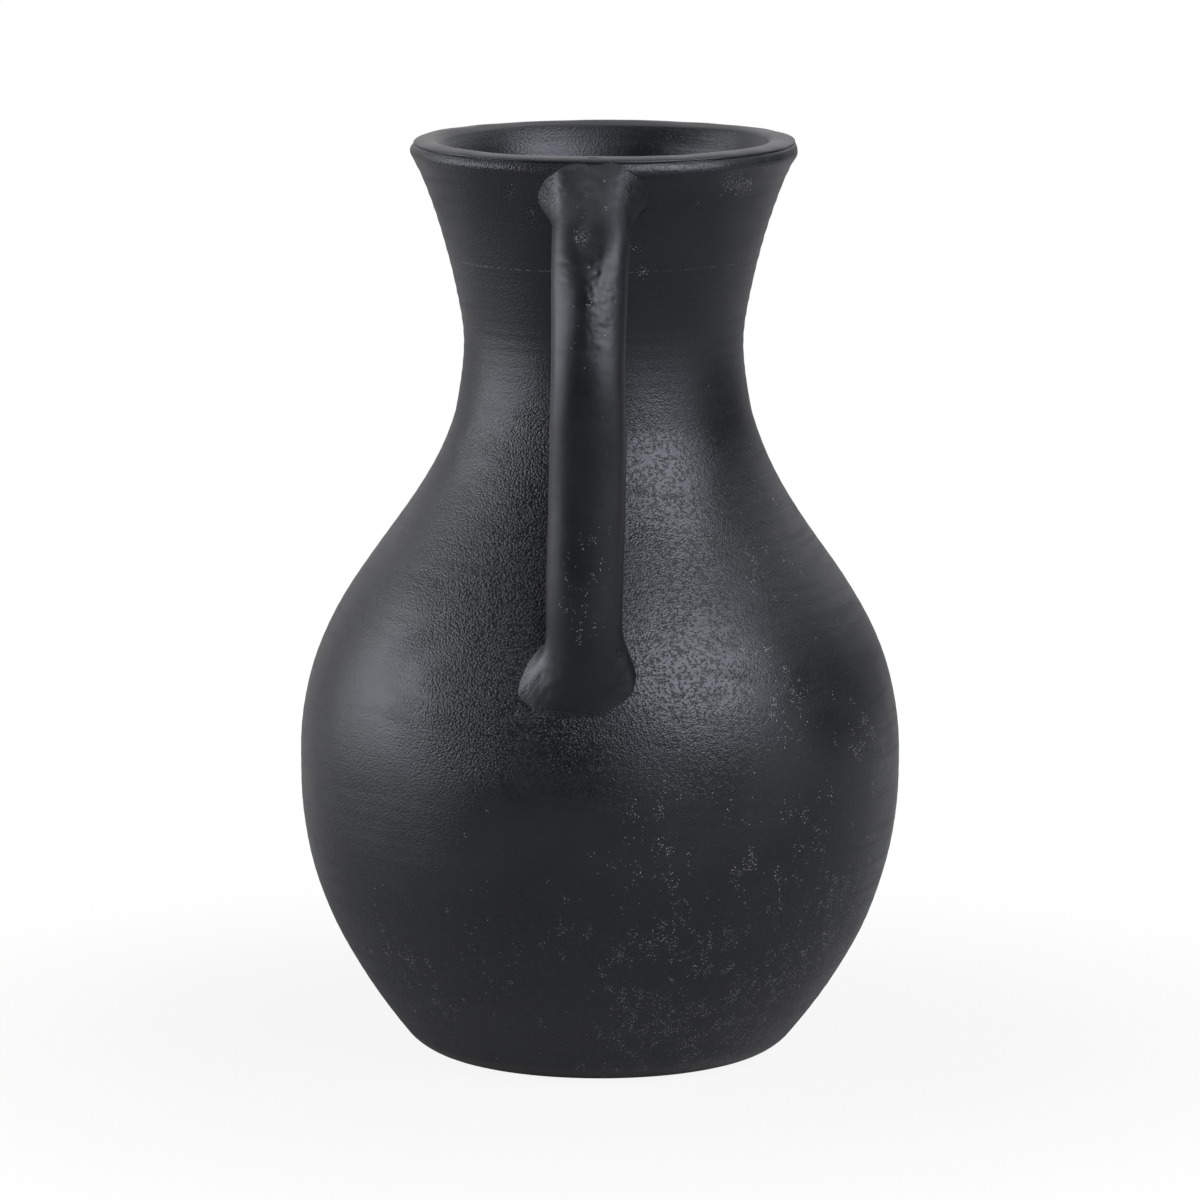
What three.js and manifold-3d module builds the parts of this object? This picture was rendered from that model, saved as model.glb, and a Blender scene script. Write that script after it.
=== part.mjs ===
// A one-handled vase of thrown and joined clay: foot slab, lower bowl, shoulder dome, flared neck, rolled
// rim, and a pulled handle luted to the neck and to the shoulder. Millimetres, +Z up.
// The origin is the centre of the foot's underside, and the handle stands towards -Y.
import * as THREE from 'three';
import { mergeVertices } from 'three/addons/utils/BufferGeometryUtils.js';
import Module from 'manifold-3d';

const wasm = await Module();
wasm.setup();
const degree = Math.PI / 180;

// Thrown body
const height = 300; // foot to the crest of the lip
const wall = 7; // measured square to the surface
const footFlatRadius = 49; // the flat that the vase stands on
const footEdgeRadius = 19; // rounding between the flat and the lower wall
const footThickness = 10; // slab, and the height of its seam
const lowerWallAngle = 51 * degree; // slope of the wall as it leaves the foot
const lowerWallPull = 50; // how far that slope carries on
const bellyRadius = 98;
const bellyHeight = 0.328 * height;
const bellyPullDown = 22; // upright stretches below and above the widest line
const bellyPullUp = 64;
const neckSeamHeight = 0.633 * height; // where the neck is set on the shoulder
const waistRadius = 45;
const waistHeight = 0.782 * height;
const waistPullDown = 60; // upright stretches below and above the waist
const waistPullUp = 8;
const flareAngle = 32.5 * degree; // from upright, where the flare meets the lip
const flarePull = 20.5;

// Rolled lip
const rimRadius = 62.7; // widest line of the lip
const lipWidth = 10.2; // widest line to the edge of the mouth
const lipRoll = 5.7; // rounding of the outer edge
const lipCrown = 3.7; // crest above the widest line
const creaseAngle = 29 * degree; // round the roll, up from the widest line
const creaseWidth = 12 * degree;
const creaseDepth = 0.7;

// Joints between the sections
const slipGap = 0.3; // layer of slip in every joint
const tongueWidth = 4.4; // V-shaped tongue on each top edge, seated in a groove
const tongueHeight = 2.2;

// Pulled handle
const handleWidth = 24;
const handleThickness = 18;
const fingerRoom = 35; // waist to the inside of the handle
const handleTopDrop = 13; // crest of the lip to the middle of the upper root
const handleTopPull = 37; // straight run out of the neck
const handleBendHeight = 0.793 * height; // where the handle stands farthest out
const handleBendPull = 36; // upright stretches above and below that height
const handleDropPull = 48;
const handleLowHeight = 0.47 * height; // middle of the lower root
const handleLowAngle = 22 * degree; // from upright, as it lands on the shoulder
const handleLowPull = 30;
const rootDepth = 14; // how far the handle's line runs on into the wall

// Wads of clay wiped round the roots, as half sizes
const upperLuteAcross = 17.5;
const upperLuteAlong = 12.5; // open at the top, where the handle meets the lip
const upperLuteProud = 7;
const upperLuteDrop = 5.5; // its middle below the middle of the root
const lowerLuteAcross = 18.2;
const lowerLuteAlong = 17;
const lowerLuteProud = 9;

// Facets
const turnSegments = 48;
const footSteps = 5;
const bowlSteps = 9;
const domeSteps = 8;
const neckSteps = 10;
const lipSteps = 3; // under the roll, and again from the crease to the crest
const mouthSteps = 4; // crest to the edge of the mouth
const handleSides = 24;
const handleSteps = 24;
const luteSegments = 24;
const weldDistance = 1e-4;

// The outside line of the wall, foot to lip, as radius and height
const upright = new THREE.Vector2(0, 1);
const lipCentre = new THREE.Vector2(rimRadius - lipRoll, height - lipCrown);
const quarterTurn = Math.PI / 2;
const footEdge = new THREE.EllipseCurve(
  footFlatRadius, footEdgeRadius, footEdgeRadius, footEdgeRadius, -quarterTurn, lowerWallAngle - quarterTurn);
const lipUnder = new THREE.EllipseCurve(lipCentre.x, lipCentre.y, lipRoll, lipRoll, -flareAngle, 0);
const lipOver = new THREE.EllipseCurve(lipCentre.x, lipCentre.y, lipRoll, lipCrown, 0, quarterTurn);
const lipInside = new THREE.EllipseCurve(
  lipCentre.x, lipCentre.y, lipWidth - lipRoll, lipCrown, quarterTurn, 2 * quarterTurn);

const footEnd = footEdge.getPoint(1);
const belly = new THREE.Vector2(bellyRadius, bellyHeight);
const waist = new THREE.Vector2(waistRadius, waistHeight);
const flareEnd = lipUnder.getPoint(0);
const lowerWallSlope = new THREE.Vector2(Math.cos(lowerWallAngle), Math.sin(lowerWallAngle));
const flareSlope = new THREE.Vector2(Math.sin(flareAngle), Math.cos(flareAngle));

// A point moved along a direction in the plane of the outline
function along(point, direction, distance) {
  return point.clone().addScaledVector(direction, distance);
}

const outline = [
  footEdge,
  new THREE.CubicBezierCurve(
    footEnd, along(footEnd, lowerWallSlope, lowerWallPull), along(belly, upright, -bellyPullDown), belly),
  new THREE.CubicBezierCurve(
    belly, along(belly, upright, bellyPullUp), along(waist, upright, -waistPullDown), waist),
  new THREE.CubicBezierCurve(
    waist, along(waist, upright, waistPullUp), along(flareEnd, flareSlope, -flarePull), flareEnd),
];

// Stations count the outline's curves from the foot, so 1.5 is half way along the second curve.
function curveAt(station) {
  const index = Math.min(Math.floor(station), outline.length - 1);
  return [outline[index], station - index];
}

function wallSlope(station) {
  const [curve, part] = curveAt(station);
  return curve.getTangent(part);
}

// A point of the wall, inset square to the outside line
function wallPoint(station, inset) {
  const [curve, part] = curveAt(station);
  const point = curve.getPoint(part);
  const slope = wallSlope(station);
  return new THREE.Vector2(point.x - slope.y * inset, point.y + slope.x * inset);
}

// The station where the wall, at an inset, passes a height
function stationAt(level, inset) {
  let low = 0;
  let high = outline.length;
  while (high - low > 1e-9) {
    const middle = (low + high) / 2;
    if (wallPoint(middle, inset).y < level) {
      low = middle;
    } else {
      high = middle;
    }
  }
  return (low + high) / 2;
}

// Evenly spaced values, ends included
function evenly(from, to, steps) {
  return Array.from({ length: steps + 1 }, (_, i) => THREE.MathUtils.lerp(from, to, i / steps));
}

function pointsOf(curve, steps, from = 0, to = 1) {
  return evenly(from, to, steps).map((part) => curve.getPoint(part));
}

// Turns a profile of radius and height round the vase's axis
function turned(profile) {
  return new THREE.LatheGeometry(profile, turnSegments).rotateX(quarterTurn);
}

// A V-shaped tongue across the middle of the wall, from the outside inwards, or its groove when lifted
function seam(level, lift) {
  const outer = wallPoint(stationAt(level, 0), 0).x;
  const inner = wallPoint(stationAt(level, wall), wall).x;
  const middle = (outer + inner) / 2;
  return [
    new THREE.Vector2(middle + tongueWidth / 2, level + lift),
    new THREE.Vector2(middle, level + tongueHeight + lift),
    new THREE.Vector2(middle - tongueWidth / 2, level + lift),
  ];
}

// The thrown sections, bottom to top, between their seams
const rimSeamHeight = flareEnd.y;
const sections = [
  { name: 'lower_bowl', from: footThickness, to: bellyHeight, steps: bowlSteps },
  { name: 'shoulder_dome', from: bellyHeight, to: neckSeamHeight, steps: domeSteps },
  { name: 'neck_collar', from: neckSeamHeight, to: rimSeamHeight, steps: neckSteps },
];
for (const section of sections) {
  const levels = evenly(section.from + slipGap, section.to, section.steps);
  section.outside = levels.map((level) => stationAt(level, 0));
  section.inside = levels.map((level) => stationAt(level, wall));
}
const slabEdge = evenly(0, stationAt(footThickness, 0), footSteps);

function footSlab() {
  const edge = slabEdge.map((station) => wallPoint(station, 0));
  const top = seam(footThickness, 0);
  return turned([new THREE.Vector2(0, 0), ...edge, ...top, new THREE.Vector2(0, footThickness)]);
}

function thrownSection({ from, to, outside, inside }) {
  const outer = outside.map((station) => wallPoint(station, 0));
  const inner = inside.map((station) => wallPoint(station, wall)).reverse();
  const groove = seam(from, slipGap).reverse();
  return turned([...outer, ...seam(to, 0), ...inner, ...groove, outer[0]]);
}

// The lip is one rolled coil. Its crease runs round the outer roll, just above the widest line.
function rimCoil() {
  const creaseAt = creaseAngle / quarterTurn;
  const creaseHalf = creaseWidth / quarterTurn / 2;
  const creaseTop = lipOver.getPoint(creaseAt);
  const creaseFloor = along(creaseTop, creaseTop.clone().sub(lipCentre).normalize(), -creaseDepth);
  const inner = wallPoint(stationAt(rimSeamHeight + slipGap, wall), wall);
  const outer = [
    new THREE.Vector2(flareEnd.x, flareEnd.y + slipGap),
    ...pointsOf(lipUnder, lipSteps).slice(1),
    lipOver.getPoint(creaseAt - creaseHalf),
    creaseFloor,
    ...pointsOf(lipOver, lipSteps, creaseAt + creaseHalf, 1),
    ...pointsOf(lipInside, mouthSteps).slice(1),
  ];
  return turned([...outer, inner, ...seam(rimSeamHeight, slipGap).reverse(), outer[0]]);
}

// The whole pot as one body, swollen by a clearance, that what is luted on is cut to
function potGrown(clearance) {
  const stations = [...slabEdge, ...sections.flatMap((section) => section.outside)];
  const lip = [...pointsOf(lipUnder, lipSteps).slice(1), ...pointsOf(lipOver, lipSteps + 1).slice(1)];
  const lipGrown = lip.map((point) => along(point, point.clone().sub(lipCentre).normalize(), clearance));
  const side = [...stations.map((station) => wallPoint(station, -clearance)), ...lipGrown];
  return turned([new THREE.Vector2(0, side[0].y), ...side, new THREE.Vector2(0, side.at(-1).y)]);
}

// The handle's middle line: straight out of the neck, over the bend, and down on to the shoulder
const handleTopHeight = height - handleTopDrop;
const handleReach = waistRadius + fingerRoom + handleThickness / 2;
const handleTop = wallPoint(stationAt(handleTopHeight, 0), 0);
const handleLow = wallPoint(stationAt(handleLowHeight, 0), 0);
const landing = new THREE.Vector2(-Math.sin(handleLowAngle), -Math.cos(handleLowAngle));
const outwards = new THREE.Vector2(1, 0);

function inHandlePlane(point) {
  return new THREE.Vector3(0, -point.x, point.y);
}

function handleLine() {
  const start = along(handleTop, outwards, -rootDepth);
  const bend = new THREE.Vector2(handleReach, handleBendHeight);
  const end = along(handleLow, landing, rootDepth);
  const upper = [start, along(start, outwards, handleTopPull), along(bend, upright, handleBendPull), bend];
  const lower = [bend, along(bend, upright, -handleDropPull), along(end, landing, -handleLowPull), end];
  const line = new THREE.CurvePath();
  line.add(new THREE.CubicBezierCurve3(...upper.map(inHandlePlane)));
  line.add(new THREE.CubicBezierCurve3(...lower.map(inHandlePlane)));
  return line;
}

function handleBar(clearance) {
  const oval = new THREE.Shape();
  oval.absellipse(0, 0, handleWidth / 2 + clearance, handleThickness / 2 + clearance, 0, 2 * Math.PI);
  return new THREE.ExtrudeGeometry(oval, {
    extrudePath: handleLine(),
    steps: handleSteps,
    curveSegments: handleSides / 2,
    bevelEnabled: false,
  });
}

// A flattened wad of clay lying on the wall at one root of the handle
function wad(level, halfAcross, halfAlong, proud) {
  const station = stationAt(level, 0);
  const slope = wallSlope(station);
  const lean = Math.atan2(slope.x, slope.y);
  const geometry = new THREE.SphereGeometry(1, luteSegments, luteSegments / 2).rotateX(quarterTurn);
  geometry.scale(halfAcross, proud, halfAlong).rotateX(lean);
  return geometry.translate(...inHandlePlane(wallPoint(station, 0)).toArray());
}

// Closed solids for cutting, and back again
function solid(geometry) {
  const bare = new THREE.BufferGeometry();
  bare.setAttribute('position', geometry.getAttribute('position'));
  bare.setIndex(geometry.getIndex());
  const welded = mergeVertices(bare, weldDistance);
  const index = welded.getIndex().array;
  const triangles = [];
  for (let i = 0; i < index.length; i += 3) {
    const [a, b, c] = index.slice(i, i + 3);
    if (a !== b && b !== c && c !== a) {
      triangles.push(a, b, c);
    }
  }
  return new wasm.Manifold(new wasm.Mesh({
    numProp: 3,
    vertProperties: new Float32Array(welded.getAttribute('position').array),
    triVerts: new Uint32Array(triangles),
  }));
}

function shape(manifold) {
  const { vertProperties, triVerts } = manifold.getMesh();
  const geometry = new THREE.BufferGeometry();
  geometry.setAttribute('position', new THREE.BufferAttribute(vertProperties, 3));
  geometry.setIndex(new THREE.BufferAttribute(triVerts, 1));
  geometry.computeVertexNormals();
  return geometry;
}

const pot = solid(potGrown(slipGap));
const handleClear = solid(handleBar(slipGap));

// Black earthenware, burnished on the wall and rubbed smoother on the handle
function clay(roughness) {
  return new THREE.MeshStandardMaterial({ color: '#2c2d31', roughness, metalness: 0 });
}

const vase = new THREE.Group();

function place(name, geometry, roughness) {
  const mesh = new THREE.Mesh(geometry, clay(roughness));
  mesh.name = name;
  vase.add(mesh);
}

place('foot_slab', footSlab(), 0.7);
for (const section of sections) {
  place(section.name, thrownSection(section), 0.5);
}
place('rim_coil', rimCoil(), 0.45);
place('handle', shape(solid(handleBar(0)).subtract(pot)), 0.4);
const upperWad = wad(handleTopHeight - upperLuteDrop, upperLuteAcross, upperLuteAlong, upperLuteProud);
const lowerWad = wad(handleLowHeight, lowerLuteAcross, lowerLuteAlong, lowerLuteProud);
place('upper_lute', shape(solid(upperWad).subtract(pot).subtract(handleClear)), 0.5);
place('lower_lute', shape(solid(lowerWad).subtract(pot).subtract(handleClear)), 0.5);

export default vase;
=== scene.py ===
import bisect
import math

import bmesh
import bpy
from mathutils import Matrix, Vector, noise
from mathutils.geometry import interpolate_bezier


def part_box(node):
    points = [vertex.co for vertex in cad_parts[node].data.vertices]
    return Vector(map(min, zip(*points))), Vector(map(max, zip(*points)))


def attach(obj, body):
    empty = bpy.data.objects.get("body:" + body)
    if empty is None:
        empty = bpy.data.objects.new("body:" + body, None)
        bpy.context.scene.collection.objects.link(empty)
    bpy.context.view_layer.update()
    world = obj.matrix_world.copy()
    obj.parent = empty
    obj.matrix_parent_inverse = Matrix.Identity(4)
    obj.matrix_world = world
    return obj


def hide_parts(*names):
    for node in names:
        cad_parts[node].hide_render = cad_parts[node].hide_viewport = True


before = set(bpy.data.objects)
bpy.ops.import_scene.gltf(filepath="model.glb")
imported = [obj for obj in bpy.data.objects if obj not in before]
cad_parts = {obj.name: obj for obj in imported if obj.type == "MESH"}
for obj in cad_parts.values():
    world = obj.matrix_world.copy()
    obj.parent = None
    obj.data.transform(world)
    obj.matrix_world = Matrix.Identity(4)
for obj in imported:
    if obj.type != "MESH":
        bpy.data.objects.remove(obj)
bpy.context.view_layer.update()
scene = bpy.context.scene
scene.view_settings.view_transform = "Standard"
mm = 0.001  # meshes are shaped in millimetres and scaled at the end
print("frame loaded:", len(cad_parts), "solids")


# sRGB hex to the linear colour that the shader takes
def hexColour(code):
    channels = [int(code[i:i + 2], 16) / 255 for i in (1, 3, 5)]
    linear = [c / 12.92 if c <= 0.04045 else ((c + 0.055) / 1.055) ** 2.4 for c in channels]
    return (*linear, 1.0)


# adds one node with its settings, fills or links its inputs, and gives its first output
def addNode(tree, kind, settings=None, inputs=None):
    node = tree.nodes.new(kind)
    for name, value in (settings or {}).items():
        setattr(node, name, value)
    for socket, value in (inputs or {}).items():
        if isinstance(value, bpy.types.NodeSocket):
            tree.links.new(value, node.inputs[socket])
        else:
            node.inputs[socket].default_value = value
    return node.outputs[0] if node.outputs else node


def newTree(owner):
    owner.use_nodes = True
    owner.node_tree.nodes.clear()
    return owner.node_tree


def smoothStep(low, high, value):
    share = min(max((value - low) / (high - low), 0), 1)
    return share * share * (3 - 2 * share)


# a soft hump of height 1
def hump(centre, halfWidth, value):
    return math.exp(-((value - centre) / halfWidth) ** 2)


# slow unevenness between -1 and 1, with bumps about `size` millimetres across
def uneven(point, size, seed):
    return noise.noise(point / size + Vector((seed, 1.7 * seed, 2.3 * seed)))


def newPiece(name, bm, material):
    bmesh.ops.scale(bm, vec=(mm, mm, mm), verts=bm.verts)
    for face in bm.faces:
        face.smooth = True
    mesh = bpy.data.meshes.new(name)
    bm.to_mesh(mesh)
    bm.free()
    mesh.materials.append(material)
    piece = bpy.data.objects.new(name, mesh)
    scene.collection.objects.link(piece)
    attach(piece, "root")
    print(name, "built:", len(mesh.polygons), "faces")
    return piece


# Camera: a long lens a little above the lip, handle towards it and turned slightly to the left
view = {
    "distance": 2.4,
    "height": 0.5467,
    "aimHeight": 0.1483,
    "azimuth": math.radians(3.2),
    "lens": 223.35,
    "sensor": 36,
}
cameraData = bpy.data.cameras.new("camera")
cameraData.lens = view["lens"]
cameraData.sensor_width = view["sensor"]
cameraData.clip_end = 50
camera = bpy.data.objects.new("camera", cameraData)
camera.location = (
    view["distance"] * math.sin(view["azimuth"]),
    -view["distance"] * math.cos(view["azimuth"]),
    view["height"],
)
aim = Vector((0, 0, view["aimHeight"]))
camera.rotation_euler = (aim - camera.location).to_track_quat("-Z", "Y").to_euler()
scene.collection.objects.link(camera)
scene.camera = camera
print("camera placed")


# settings that many nodes share
smooth = {"interpolation_type": "SMOOTHSTEP"}
times = {"operation": "MULTIPLY"}
timesPlus = {"operation": "MULTIPLY_ADD"}
plus = {"operation": "ADD"}
larger = {"operation": "MAXIMUM"}
distance = {"operation": "LENGTH"}
difference = {"operation": "SUBTRACT"}
colours = {"data_type": "RGBA"}


# where a change starts and ends, given in mm
def between(ends):
    return {"From Min": ends[0] * mm, "From Max": ends[1] * mm}


# Black burnished earthenware: low-fired clay, blackened, and rubbed with a pebble when leather-hard. It
# gives a blue-black satin skin: grained like leather on the shoulder, with flat waxy plates on the right
# where the pebble closed the grain, and plain below, with dusty pale specks that run in streaks.
burnishedClay = {
    "dark": "#0b0c0e",
    "mid": "#121317",
    "speck": "#a8a8b0",
    "score": "#46464d",
    "chalk": "#5c5b60",
    "dust": "#36373c",
    "sheen": "#eef1ff",  # the gloss is a little cooler than the light
    "roughness": 0.42,
    "silk": 0.09,  # how much smoother the grained skin is on its tops
    "clearSheen": 0.5,
    "dullSheen": 0.41,  # left on the wiped right side and on the neck
    "crownSheen": 1.0,  # times as much sheen on what lies above the bend, a painted highlight
    "lobeSheen": 1.0,  # and on the left of what lies below the handle, also a painted highlight
    "dustShare": 0.38,
    "chalkShare": 0.1,
    # sizes of the patterns and depths of the relief, in mm; the grain is as fine as the picture can hold
    "reliefUnit": 0.12,
    "drift": 9,
    "mottle": 24,
    "grain": 0.6,
    "grainDepth": 0.27,
    "grainWarp": 1.2,
    "grainWarpReach": 0.4,
    "plate": 7,
    "crack": 1.4,
    "crackDepth": 0.09,
    "throwLine": 1.0,
    "throwLineDepth": 0.07,
    "streak": 3.2,
    "speckSpacing": 0.52,
    "speckStreak": 4.5,
    "speckPatch": 30,
    "dustGrain": 0.8,
    "scoreHeight": 262.5,
    "scoreWidth": 0.32,
    "scoreWaver": 0.8,
    "chalkHeight": 5,
    # from where to where, in mm, each of these comes in: across from the middle, or up
    "narrowing": (165, 235),
    "plateSide": (-10, 12),
    "lineHeights": (205, 250),
    "wipedSide": (54, 80),
    "wipedHeights": (104, 124),
    "neckSide": (0, 18),
    "neckBottom": (196, 228),
    "neckTop": (292, 284),
    # where the painted shade in the grain's hollows weakens upwards
    "hollowShadeFading": (180, 212),
    # where the painted highlight on the handle's crown comes in
    "crownSide": (12, 7),
    "crownHeights": (277, 287),
    # where the painted highlight on the left of the handle's lower root comes in
    "lobeSide": (-9, -14),
    "lobeHeights": (158, 148),
    "scoreFading": (-10, 20),
    "dustHeights": (90, 45),
    # where the skin is grained: heights, the width of their edges, the distances from the middle where the
    # grain has faded out and where it is full, its least radius, its strength, and its narrowing to the neck
    "grainBands": {
        "shoulder": {"low": 98, "high": 220, "edge": 44, "faded": 84, "full": 30, "leastRadius": 0,
                     "strength": 1, "narrows": 0.9},
        "lip": {"low": 293.4, "high": 297.4, "edge": 1, "faded": 120, "full": 100, "leastRadius": 56,
                "strength": 0.6, "narrows": 0},
    },
    "grainElsewhere": 0.3,
    # from where to where across, and how much likelier specks are at its two ends; then the same upwards
    "speckSides": [(0, 32, -0.08, 0.03)],
    "speckHeights": [(105, 40, -0.03, 0.1), (170, 205, 0, -0.13)],
    # rubbed places on the front: distance to the right of the middle, height, and size
    "scuffs": {
        "leftNeck": (-26, 288, 4),
        "besideHandle": (-18.5, 279.5, 6),
        "rightNeck": (14.5, 270.5, 4.2),
        "lowRightNeck": (16, 262, 4),
        "farRight": (46, 288, 6),
        "rightOfRoot": (11, 124, 3.2),
        "leftOfRoot": (-20.5, 127, 2.2),
    },
}

# Wiped black clay: the same clay on the handle, drawn and smoothed with wet fingers. It gives a closed satin
# skin with faint drag marks, a few specks down the middle, and rough smears at the roots.
wipedClay = {
    **burnishedClay,
    "dark": "#090a0c",
    "mid": "#101114",
    "roughness": 0.43,
    "silk": 0,
    "clearSheen": 0.42,
    "dullSheen": 0.42,
    # painted highlight: extra sheen on the crown of the handle
    "crownSheen": 1.4,
    # painted highlight: extra sheen on the left of the lower root
    "lobeSheen": 1.6,
    "dustShare": 0.12,
    "chalkShare": 0,
    "grainDepth": 0.3,
    "throwLineDepth": 0.012,
    "speckStreak": 3,
    "scoreWidth": 0,
    "chalkHeight": 0,
    "grainBands": {
        "lowerRoot": {"low": 100, "high": 146, "edge": 12, "faded": 14, "full": 19, "leastRadius": 0,
                      "strength": 0.4, "narrows": 0},
        "lowerEnd": {"low": 90, "high": 129, "edge": 9, "faded": 120, "full": 100, "leastRadius": 0,
                     "strength": 0.9, "narrows": 0},
        "upperRoot": {"low": 284, "high": 301, "edge": 5, "faded": 9, "full": 12.5, "leastRadius": 0,
                      "strength": 0.9, "narrows": 0},
    },
    "grainElsewhere": 0.06,
    "speckSides": [(10.5, 6, -0.15, 0.09), (-9, -5, -0.2, 0)],
    "speckHeights": [(146, 153, -0.25, 0), (170, 212, 0, -0.12)],
    "scuffs": {
        "thumbHollow": (-1, 275.5, 3.7),
        "upperLeftRoot": (-14.5, 291, 4.5),
        "lowerRightRoot": (11.5, 147, 2.4),
    },
}


def blackClay(name, look):
    material = bpy.data.materials.new(name)
    tree = newTree(material)
    place = addNode(tree, "ShaderNodeTexCoord").node.outputs["Object"]
    axes = addNode(tree, "ShaderNodeSeparateXYZ", None, {0: place}).node.outputs
    height = axes["Z"]

    # where the skin is grained: bands with ragged level edges
    level = addNode(tree, "ShaderNodeVectorMath", times, {0: place, 1: (0.4, 0.4, 1)})
    drift = addNode(tree, "ShaderNodeTexNoise", None,
                    {"Vector": level, "Scale": 1 / (look["drift"] * mm), "Detail": 4, "Roughness": 0.65})
    sideways = addNode(tree, "ShaderNodeMath", {"operation": "ABSOLUTE"}, {0: axes["X"]})
    levelPlace = addNode(tree, "ShaderNodeVectorMath", times, {0: place, 1: (1, 1, 0)})
    radius = addNode(tree, "ShaderNodeVectorMath", distance, {0: levelPlace}).node.outputs["Value"]
    grained = look["grainElsewhere"]
    for band in look["grainBands"].values():
        low, high, edge, faded, full = (band[key] for key in ("low", "high", "edge", "faded", "full"))
        upwards = addNode(tree, "ShaderNodeMath", timesPlus, {0: drift, 1: 0.8 * edge * mm, 2: height})
        rising = addNode(tree, "ShaderNodeMapRange", smooth,
                         {"Value": upwards, **between((low, low + edge))})
        falling = addNode(tree, "ShaderNodeMapRange", smooth,
                          {"Value": upwards, **between((high + edge, high))})
        narrowing = addNode(tree, "ShaderNodeMapRange", None,
                            {"Value": height, **between(look["narrowing"]),
                             "To Min": 1, "To Max": 1 + band["narrows"]})
        narrowed = addNode(tree, "ShaderNodeMath", times, {0: sideways, 1: narrowing})
        ragged = 1.2 * (faded - full)
        fromMiddle = addNode(tree, "ShaderNodeMath", timesPlus, {0: drift, 1: ragged * mm, 2: narrowed})
        shift = ragged / 2  # the drift is about one half
        across = addNode(tree, "ShaderNodeMapRange", smooth,
                         {"Value": fromMiddle, **between((faded + shift, full + shift)),
                          "To Max": band["strength"]})
        bandHeight = addNode(tree, "ShaderNodeMath", times, {0: rising, 1: falling})
        outside = addNode(tree, "ShaderNodeMath", {"operation": "GREATER_THAN"},
                          {0: radius, 1: band["leastRadius"] * mm})
        bandOutside = addNode(tree, "ShaderNodeMath", times, {0: bandHeight, 1: outside})
        bandAcross = addNode(tree, "ShaderNodeMath", times, {0: bandOutside, 1: across})
        grained = addNode(tree, "ShaderNodeMath", larger, {0: bandAcross, 1: grained})

    # rubbed places with ragged edges, on the front only
    rubbed = 0.0
    for right, rise, size in look["scuffs"].values():
        offset = addNode(tree, "ShaderNodeVectorMath", difference, {0: place, 1: (right * mm, 0, rise * mm)})
        flat = addNode(tree, "ShaderNodeVectorMath", times, {0: offset, 1: (1, 0, 0.8)})
        far = addNode(tree, "ShaderNodeVectorMath", distance, {0: flat}).node.outputs["Value"]
        ragged = addNode(tree, "ShaderNodeMath", timesPlus, {0: drift, 1: 2 * size * mm, 2: far})
        spot = addNode(tree, "ShaderNodeMapRange", smooth,
                       {"Value": ragged, **between((2.1 * size, 1.2 * size))})
        rubbed = addNode(tree, "ShaderNodeMath", larger, {0: spot, 1: rubbed})
    front = addNode(tree, "ShaderNodeMath", {"operation": "LESS_THAN"}, {0: axes["Y"], 1: -20 * mm})
    scuffed = addNode(tree, "ShaderNodeMath", times, {0: front, 1: rubbed})
    grained = addNode(tree, "ShaderNodeMath", larger, {0: scuffed, 1: grained})

    # leathery grain, a little longer than high; on the right the pebble closed it into cracked flat plates
    reach = look["grainWarpReach"] * mm
    warp = addNode(tree, "ShaderNodeTexNoise", None,
                   {"Vector": place, "Scale": 1 / (look["grainWarp"] * mm), "Detail": 2})
    warped = addNode(tree, "ShaderNodeVectorMath", timesPlus,
                     {0: warp.node.outputs["Color"], 1: (reach, reach, reach), 2: place})
    lying = addNode(tree, "ShaderNodeVectorMath", times, {0: warped, 1: (0.75, 0.75, 1)})
    grain = addNode(tree, "ShaderNodeTexVoronoi", None, {"Vector": lying, "Scale": 1 / (look["grain"] * mm)})
    closed = addNode(tree, "ShaderNodeTexNoise", None,
                     {"Vector": level, "Scale": 1 / (look["plate"] * mm), "Detail": 3, "Roughness": 0.6})
    toRight = addNode(tree, "ShaderNodeMapRange", smooth,
                      {"Value": axes["X"], **between(look["plateSide"]), "To Min": -0.25, "To Max": 0.15})
    closedSide = addNode(tree, "ShaderNodeMath", plus, {0: closed, 1: toRight})
    plateShare = addNode(tree, "ShaderNodeMapRange", smooth,
                         {"Value": closedSide, "From Min": 0.34, "From Max": 0.64})
    grainDepth = look["grainDepth"] / look["reliefUnit"]
    grainLeft = addNode(tree, "ShaderNodeMapRange", None,
                        {"Value": plateShare, "To Min": -grainDepth, "To Max": -0.3 * grainDepth})
    wrinkled = addNode(tree, "ShaderNodeMath", times, {0: grain, 1: grainLeft})
    lower = addNode(tree, "ShaderNodeVectorMath", times, {0: place, 1: (0.75, 0.75, 1)})
    winding = addNode(tree, "ShaderNodeTexNoise", None,
                      {"Vector": lower, "Scale": 1 / (look["crack"] * mm), "Detail": 3, "Roughness": 0.55})
    offCrack = addNode(tree, "ShaderNodeMath", difference, {0: winding, 1: 0.5})
    nearCrack = addNode(tree, "ShaderNodeMath", {"operation": "ABSOLUTE"}, {0: offCrack})
    crack = addNode(tree, "ShaderNodeMapRange", smooth,
                    {"Value": nearCrack, "From Min": 0.07, "From Max": 0.01})
    breaks = addNode(tree, "ShaderNodeTexNoise", None,
                     {"Vector": place, "Scale": 1 / (look["crack"] * mm), "Detail": 3})
    kept = addNode(tree, "ShaderNodeMapRange", smooth, {"Value": breaks, "From Min": 0.4, "From Max": 0.6})
    brokenCrack = addNode(tree, "ShaderNodeMath", times, {0: crack, 1: kept})
    crackShare = addNode(tree, "ShaderNodeMath", times, {0: brokenCrack, 1: plateShare})
    cracked = addNode(tree, "ShaderNodeMath", timesPlus,
                      {0: crackShare, 1: -look["crackDepth"] / look["reliefUnit"], 2: wrinkled})
    grainRelief = addNode(tree, "ShaderNodeMath", times, {0: cracked, 1: grained})

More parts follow.
